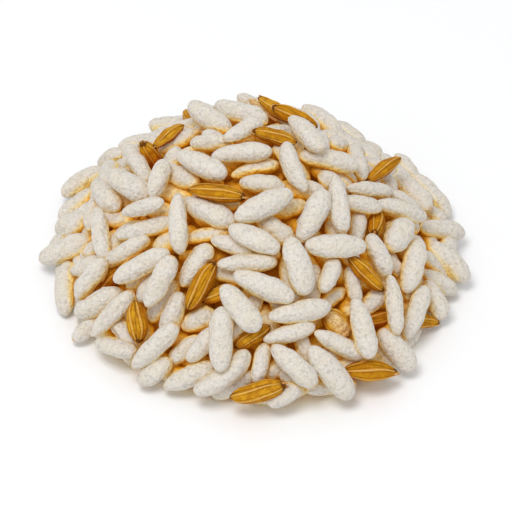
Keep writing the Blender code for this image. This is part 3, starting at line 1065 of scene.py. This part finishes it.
# ---------------------------------------------------------------- materials

def puffed_material(name):
    """Dry white puffed rice: pebbly, with grey specks and painted glints, painted golden shade where grains
    close in on each other, and a weak painted glow there.
    """
    material, recipe, shader = material_recipe(name)
    place = recipe.node("ShaderNodeTexCoord", out="Object")
    shade = recipe.attribute("shade")
    tone = recipe.attribute("tone")
    luck = recipe.attribute("luck")
    bubbles = recipe.node(
        "ShaderNodeTexVoronoi",
        dict(feature="SMOOTH_F1"),
        {"Vector": place, "Scale": 1500.0, "Smoothness": 0.35},
        out="Distance",
    )
    pebbles = recipe.noise(place, 1900.0, 2.0, 0.5)
    patches = recipe.noise(place, 420.0, 3.0, 0.55)
    specks = recipe.noise(place, 1450.0, 1.5, 0.5)
    dots = recipe.noise(place, 1150.0, 1.0, 0.5)
    glints = recipe.noise(place, 2600.0, 1.0, 0.5)
    colour = recipe.mix(patches.step(0.36, 0.62), PUFFED_WHITE, tinted(PUFFED_WHITE, CREAM_TINT))
    # The grain's own grey specks, and painted shade in the low creases between the bump's bubbles
    specks_and_crease_shade = specks.step(0.50, 0.68) * 0.75 + bubbles.step(0.35, 0.65) * 0.20
    colour = recipe.mix(specks_and_crease_shade, colour, tinted(PUFFED_WHITE, GREY_TINT))
    # Painted glints: small bright dots over the white
    colour = recipe.mix(glints.step(0.52, 0.70) * 0.8, colour, tinted(PUFFED_WHITE, GLINT_TINT))
    colour = recipe.mix(dots.step(0.66, 0.76) * 0.6, colour, DOT_BROWN)
    toasted = tone + (patches - 0.5) * 1.2 * tone
    colour = recipe.mix(toasted.step(0.12, 0.90) * 0.8, colour, TOASTED_TAN)
    # Painted shade: the stored shade, with a little random tone, paints the white cream, golden and brown
    # where grains close in on each other
    painted_shade = shade + (luck - 0.5) * 0.10 + (patches - 0.5) * 0.10
    golden = colour_ramp(recipe, PAINTED_SHADE_STOPS, painted_shade)
    brown = recipe.mix(1.0, golden, BROWN_TINT, "MULTIPLY")
    golden = recipe.mix(specks.step(0.48, 0.66) * 0.6, golden, brown)
    colour = recipe.mix(painted_shade.step(0.08, 0.52), colour, golden)
    plug(recipe, shader, "Base Color", colour)
    # Painted glow in the gaps
    glow_where_closed_in(recipe, shader, painted_shade, golden)
    plug(recipe, shader, "Roughness", 0.46 + pebbles * 0.30)
    roughen(recipe, shader, 0.6, 0.00030, pebbles * 0.8 + patches * 0.7 - bubbles)
    shader.inputs["Specular IOR Level"].default_value = 0.30
    return material


def husk_material():
    """Golden rice husk: pale ribs, partly painted highlight, with painted shade in the furrows next to them,
    brown ends, mottled faces, painted shade where closed in and a weak painted glow.
    """
    material, recipe, shader = material_recipe("rice_husk")
    place = recipe.node("ShaderNodeTexCoord", out="Object")
    shade = recipe.attribute("shade")
    rib = recipe.attribute("rib")
    tone = recipe.attribute("tone")
    luck = recipe.attribute("luck")
    pale = recipe.attribute("pale")
    fine = recipe.noise(place, 3000.0, 3.0, 0.6)
    patches = recipe.noise(place, 620.0, 3.0, 0.6)
    colour = recipe.mix(luck, *HUSK_GOLDS)
    colour = recipe.mix(patches.step(0.42, 0.60) * 0.65, colour, HUSK_MOTTLE)
    # Painted shade in the furrows next to the ribs
    furrow_shade_mask = rib.step(0.01, 0.20) - rib.step(0.20, 0.50)
    colour = recipe.mix(furrow_shade_mask * 0.75, colour, FURROW_SHADE)
    # The ribs' own paler colour, partly a painted highlight
    colour = recipe.mix(rib.step(0.50, 0.90) * (0.20 + patches * 0.8), colour, PALE_RIBS_AND_HIGHLIGHT)
    colour = recipe.mix(fine.step(0.50, 0.72) * 0.45, colour, HUSK_FLECKS)
    # Brown ends and seams, and painted shade between the ribs near the ends
    colour = recipe.mix(tone.step(0.15, 0.95) * 0.9, colour, HUSK_ENDS_AND_SHADE)
    colour = recipe.mix(pale, colour, recipe.mix(fine.step(0.35, 0.65), *ROUGH_RICE))
    # Painted shade where the husk is closed in
    colour = recipe.mix(1.0, colour, colour_ramp(recipe, HUSK_SHADE_STOPS, shade), "MULTIPLY")
    plug(recipe, shader, "Base Color", colour)
    # Painted glow in the gaps
    glow_where_closed_in(recipe, shader, shade, colour)
    plug(recipe, shader, "Roughness", 0.48 + fine * 0.3)
    roughen(recipe, shader, 0.7, 0.00022, fine)
    shader.inputs["Specular IOR Level"].default_value = 0.05
    return material


def core_material():
    """Painted shade: the dim golden brown deep between the grains, with a weak painted glow."""
    material, recipe, shader = material_recipe("deep_core")
    place = recipe.node("ShaderNodeTexCoord", out="Object")
    patches = recipe.noise(place, 380.0, 3.0, 0.6)
    colour = recipe.mix(patches.step(0.35, 0.65), *CORE_SHADE_BROWNS)
    plug(recipe, shader, "Base Color", colour)
    # A weak painted glow
    plug(recipe, shader, "Emission Color", colour)
    shader.inputs["Emission Strength"].default_value = GLOW
    shader.inputs["Roughness"].default_value = 0.85
    return material


def floor_material():
    """The plain white surface that the heap lies on."""
    material, recipe, shader = material_recipe("white_floor")
    place = recipe.node("ShaderNodeTexCoord", out="Object")
    grain = recipe.noise(place, 40.0)
    plug(recipe, shader, "Base Color", recipe.mix(grain, *FLOOR_WHITES))
    shader.inputs["Roughness"].default_value = 0.9
    shader.inputs["Specular IOR Level"].default_value = 0.1
    return material


# ---------------------------------------------------------------- scattering

def scatter_tree(name, shapes_of_kind, material):
    """Geometry Nodes that put a grain shape on every point and roughen the result."""
    tree = bpy.data.node_groups.new(name, "GeometryNodeTree")
    tree.interface.new_socket("Points", in_out="INPUT", socket_type="NodeSocketGeometry")
    inputs = {}
    for label, value in (("Lump Size", LUMP_SIZE), ("Lump Depth", GRAIN_LUMPS)):
        socket = tree.interface.new_socket(label, in_out="INPUT", socket_type="NodeSocketFloat")
        socket.default_value = value * MM
        inputs[label] = socket.identifier
    tree.interface.new_socket("Grains", in_out="OUTPUT", socket_type="NodeSocketGeometry")
    recipe = Recipe(tree)
    given = recipe.node("NodeGroupInput", out=None)
    labels = ("Points", "Lump Size", "Lump Depth")
    points, lump_size, lump_depth = (Wire(recipe, given.outputs[label]) for label in labels)
    shapes = recipe.node(
        "GeometryNodeCollectionInfo",
        None,
        {"Collection": shapes_of_kind, "Separate Children": True, "Reset Children": True},
    )

    def named(label, data_type):
        return recipe.node("GeometryNodeInputNamedAttribute", dict(data_type=data_type), {"Name": label})

    placed = recipe.node(
        "GeometryNodeInstanceOnPoints",
        None,
        {
            "Points": points,
            "Instance": shapes,
            "Pick Instance": True,
            "Instance Index": named("pick", "INT"),
            "Rotation": named("turn", "QUATERNION"),
            "Scale": named("stretch", "FLOAT_VECTOR"),
        },
    )
    real = recipe.node("GeometryNodeRealizeInstances", None, {"Geometry": placed})
    where = recipe.node("GeometryNodeInputPosition")
    lumps_per_metre = lump_size.math("DIVIDE", 1.0, lump_size)
    noise = recipe.noise(where, lumps_per_metre, 2.0, 0.55)
    outward = recipe.node("GeometryNodeInputNormal")
    values = {0: outward, "Scale": (noise - 0.5) * lump_depth}
    push = recipe.node("ShaderNodeVectorMath", dict(operation="SCALE"), values)
    rough = recipe.node("GeometryNodeSetPosition", None, {"Geometry": real, "Offset": push})
    smooth = recipe.node("GeometryNodeSetShadeSmooth", None, {0: rough})
    coloured = recipe.node("GeometryNodeSetMaterial", None, {"Geometry": smooth, "Material": material})
    recipe.node("NodeGroupOutput", None, {0: coloured}, out=None)
    return tree, inputs


def points_mesh(name, pile, members, picks):
    """One point for every grain of a kind, with its turn, stretch and number."""
    mesh = bpy.data.meshes.new(name)
    places = pile.places[members] * MM
    mesh.vertices.add(len(members))
    mesh.vertices.foreach_set("co", places.ravel())
    turns = np.array([Matrix(pile.frames[i].tolist()).to_quaternion() for i in members])
    layers = (
        ("turn", "QUATERNION", "value", turns),
        ("stretch", "FLOAT_VECTOR", "vector", pile.scales[members]),
        ("pick", "INT", "value", np.array(picks)),
        ("grain", "INT", "value", np.array(members)),
        ("luck", "FLOAT", "value", pile.luck[members]),
    )
    for label, data_type, field, values in layers:
        layer = mesh.attributes.new(label, data_type, "POINT")
        dtype = np.int32 if data_type == "INT" else np.float32
        layer.data.foreach_set(field, values.astype(dtype).ravel())
    return mesh


def scatter(name, pile, members, shape_meshes, material, lump_depth):
    """Make one piece of all the grains of a kind."""
    collection = bpy.data.collections.new(name + "_shapes")
    bpy.context.scene.collection.children.link(collection)
    helpers = []
    order = {}
    for number, (key, mesh) in enumerate(shape_meshes.items()):
        helper = bpy.data.objects.new("%s_%02d" % (name, number), mesh)
        collection.objects.link(helper)
        helpers.append(helper)
        order[key] = number
    deep = pile.depth() > FINE_DEPTH
    picks = [order[(pile.kind[i], bool(deep[i]))] for i in members]
    tree, inputs = scatter_tree(name + "_tree", collection, material)
    spread = bpy.data.objects.new(name + "_points", points_mesh(name, pile, members, picks))
    bpy.context.scene.collection.objects.link(spread)
    modifier = spread.modifiers.new("scatter", "NODES")
    modifier.node_group = tree
    modifier[inputs["Lump Depth"]] = lump_depth
    graph = bpy.context.evaluated_depsgraph_get()
    mesh = bpy.data.meshes.new_from_object(spread.evaluated_get(graph))
    for helper in helpers + [spread]:
        bpy.data.objects.remove(helper, do_unlink=True)
    bpy.data.collections.remove(collection)
    mesh.name = name
    piece = bpy.data.objects.new(name, mesh)
    bpy.context.scene.collection.objects.link(piece)
    return piece


def covered(place, normal, grain, pile):
    """How much of the view from each point the beads of the other grains cover."""
    beads = pile.beads()
    cover = np.zeros(len(place))
    for number in np.unique(grain):
        own = np.where(grain == number)[0]
        near = np.linalg.norm(pile.places - pile.places[number], axis=1) < SHADE_REACH
        near[number] = False
        balls = beads[near].reshape(-1, 3)
        radii = pile.radii[near].ravel()
        between = balls[None] - place[own][:, None]
        apart = np.sqrt((between ** 2).sum(-1))
        facing = (between * normal[own][:, None]).sum(-1) / np.maximum(apart, 1e-6)
        seen = (radii / np.maximum(apart, 1.5 * radii)) ** 2 * np.clip(facing, 0, 1)
        cover[own] = seen.sum(1)
    return cover


def shade_grains(piece, pile):
    """Store each point's painted shade: how closed in and how deep it is, darker on undersides and lighter
    at the foot near the floor; its colour comes from this.
    """
    mesh = piece.data
    count = len(mesh.vertices)
    place = np.empty(count * 3)
    mesh.vertices.foreach_get("co", place)
    place = place.reshape(-1, 3) / MM
    normal = np.empty(count * 3, np.float32)
    mesh.vertex_normals.foreach_get("vector", normal)
    normal = normal.reshape(-1, 3)
    grain = np.empty(count, np.int32)
    mesh.attributes["grain"].data.foreach_get("value", grain)
    level, slope = skin_normal(slope_height, place[:, 0], place[:, 1])
    depth = np.clip((level - place[:, 2]) * slope[:, 2], 0, 12)
    closed = 1 - np.exp(-CLOSING * covered(place, normal, grain, pile))
    value = CLOSED_SHADE * climb(closed, **CLOSED_IN) + DEEP_SHADE * climb(depth, **DEEP_DOWN)
    out, azimuth = polar(place[:, 0], place[:, 1])
    foot = climb(out - edge_radius(azimuth), **AT_THE_EDGE) * np.clip(1 - place[:, 2] / FOOT_HEIGHT, 0, 1)
    under = HUSK_UNDERSIDES if piece.name == "paddy_grains" else GRAIN_UNDERSIDES
    value += under * np.clip(UNDERSIDE - normal[:, 2], 0, 1) - FOOT_LIGHT * foot
    layer = mesh.attributes.new("shade", "FLOAT", "POINT")
    layer.data.foreach_set("value", value.astype(np.float32))


def make_grains(pile, shapes, materials):
    """One piece for each kind of puffed grain, and one for all in their husks."""
    pieces = []
    for name in (*KINDS, "paddy"):
        husked = name == "paddy"
        kinds = tuple(HUSKED) if husked else (name,)
        fine = HUSK_MESH if husked else FINE_MESH
        lumps = HUSK_LUMPS if husked else GRAIN_LUMPS
        wanted = [index for index, shape in enumerate(shapes) if shape.name in kinds]
        meshes = {}
        for index in wanted:
            label = "%s_%d" % (name, index)
            meshes[(index, False)] = grain_mesh(shapes[index], *fine, label)
            meshes[(index, True)] = grain_mesh(shapes[index], *COARSE_MESH, label)
        members = [number for number, kind in enumerate(pile.kind) if kind in wanted]
        piece = scatter(name + "_grains", pile, members, meshes, materials[name], lumps * MM)
        shade_grains(piece, pile)
        pieces.append(piece)
    return pieces


def make_core():
    """The smaller solid under the loose grains."""
    rings, segments = CORE_MESH
    vertices = []
    faces = []
    for ring in range(rings + 1):
        reach = ring / rings
        for segment in range(segments):
            azimuth = math.tau * segment / segments
            radius = reach * CORE_REACH * edge_radius(azimuth)
            x, y = TOP_X + radius * math.cos(azimuth), TOP_Y + radius * math.sin(azimuth)
            height = CORE_HEIGHT * (1 - reach ** SLOPE_POWER) + CORE_LIFT
            vertices.append((x * MM, y * MM, height * MM))
    mesh = bpy.data.meshes.new("heap_core")
    for ring in range(rings):
        for segment in range(segments):
            after = (segment + 1) % segments
            inner, outer = ring * segments, (ring + 1) * segments
            faces.append((inner + segment, outer + segment, outer + after, inner + after))
    faces.append(tuple(rings * segments + segment for segment in range(segments))[::-1])
    mesh.from_pydata(vertices, [], faces)
    shape = bmesh.new()
    shape.from_mesh(mesh)
    bmesh.ops.remove_doubles(shape, verts=shape.verts[:], dist=SAME_SPOT)
    bmesh.ops.recalc_face_normals(shape, faces=shape.faces[:])
    shape.to_mesh(mesh)
    shape.free()
    mesh.shade_smooth()
    mesh.materials.append(core_material())
    core = bpy.data.objects.new("heap_core", mesh)
    bpy.context.scene.collection.objects.link(core)
    return core


# ---------------------------------------------------------------- studio

def make_floor():
    """A floor of 6 m, far larger than what shows of it."""
    bpy.ops.mesh.primitive_plane_add(size=6)
    floor = bpy.context.object
    floor.name = "floor"
    floor.data.materials.append(floor_material())


def make_key_light():
    """A round white light over the front left."""
    data = bpy.data.lights.new("key", "AREA")
    data.shape = "DISK"
    data.size = KEY_SIZE
    data.energy = KEY_POWER
    light = bpy.data.objects.new("key", data)
    bpy.context.scene.collection.objects.link(light)
    light.location = KEY_PLACE
    light.rotation_euler = (Vector(KEY_AIM) - Vector(KEY_PLACE)).to_track_quat("-Z", "Y").to_euler()


def make_studio():
    """Even white light from all round, the key light and the floor."""
    scene = bpy.context.scene
    scene.view_settings.view_transform = "Standard"
    world = bpy.data.worlds.new("studio")
    scene.world = world
    world.use_nodes = True
    background = world.node_tree.nodes["Background"]
    background.inputs["Color"].default_value = (1, 1, 1, 1)
    background.inputs["Strength"].default_value = WORLD_LIGHT
    make_key_light()
    make_floor()


def make_camera():
    """The camera, which looks down along VIEW_ANGLE with a long lens."""
    data = bpy.data.cameras.new("camera")
    data.sensor_width = SENSOR
    data.lens = LENS
    camera = bpy.data.objects.new("camera", data)
    bpy.context.scene.collection.objects.link(camera)
    back = Vector(LOOK)
    camera.location = Vector((0.0, 0.0, AIM_HEIGHT * MM)) + back * (CAMERA_DISTANCE * MM)
    camera.rotation_euler = (-back).to_track_quat("-Z", "Y").to_euler()
    bpy.context.scene.camera = camera


def main():
    """Settle the grains, make their pieces and the core, and set up the studio."""
    rng = np.random.default_rng(SEED)
    shapes = [Shape(name, rng) for name in (*KINDS, "paddy") for _ in range(VARIANTS)]
    shapes += [Shape("faded", rng), Shape("broken", rng)]
    pile = settled_pile(shapes, rng)
    materials = {name: puffed_material(name + "_rice") for name in KINDS}
    materials["paddy"] = husk_material()
    pieces = make_grains(pile, shapes, materials)
    core = make_core()
    for piece in pieces + [core]:
        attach(piece, BODY)
    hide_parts(HEAP)
    make_studio()
    make_camera()


main()
